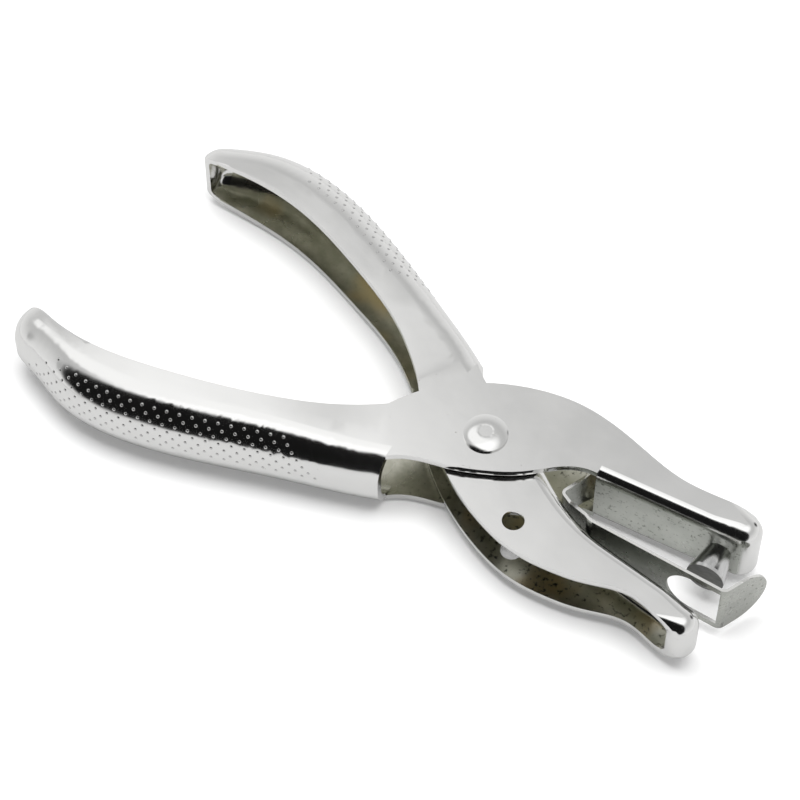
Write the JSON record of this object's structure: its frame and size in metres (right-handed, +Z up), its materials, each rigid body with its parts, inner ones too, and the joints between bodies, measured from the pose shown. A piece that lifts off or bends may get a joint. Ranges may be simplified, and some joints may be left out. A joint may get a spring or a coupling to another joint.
{
  "type": "single-hole hand punch",
  "caption": "Plated plier-style hand punch lying on its side, jaws open, with a flared punch pin, a die jaw, a pivot rivet and a bent strip stripper spring.",
  "frame": {"origin": "on the pivot axis, in the plane the lower rivet head rests on", "axes": "+X along the flat jaw web towards the jaws, +Y from the die jaw towards the pin jaw, +Z up along the pivot axis"},
  "size_m": [0.1292, 0.0616, 0.0144],
  "materials": {
    "nickel_plate": "bright nickel plate",
    "ground_steel": "turned and ground",
    "spring_steel": "plated strip, rolled"
  },
  "bodies": {
    "outer": {"outer_handle": "nickel_plate", "pivot_rivet": "nickel_plate", "punch_pin": "ground_steel", "spring_clamp": "spring_steel"},
    "inner": {"inner_handle": "nickel_plate"},
    "leg": {"spring_leg": "spring_steel"},
    "leaf": {"stripper_leaf": "spring_steel"}
  },
  "joints": [
    {"name": "handle_pivot", "type": "hinge", "parent": "outer", "child": "inner", "pos_m": [0, 0, 0.0072], "axis": [0, 0, 1], "range_deg": [0, 12], "stiffness_Nm_per_rad": 2},
    {"name": "leg_flex", "type": "hinge", "parent": "outer", "child": "leg", "pos_m": [0.036, 0.00315, 0.0072], "axis": [0, 0, 1], "range_deg": [-14.4, 0]},
    {"name": "leaf_flex", "type": "hinge", "parent": "leg", "child": "leaf", "pos_m": [0.018, 0.0043, 0.0072], "axis": [0, 0, 1], "range_deg": [0, 17.88]}
  ],
  "couplings": [
    {"joint": "leg_flex", "follows": "handle_pivot", "ratio": -1.2},
    {"joint": "leaf_flex", "follows": "handle_pivot", "ratio": 1.49}
  ]
}
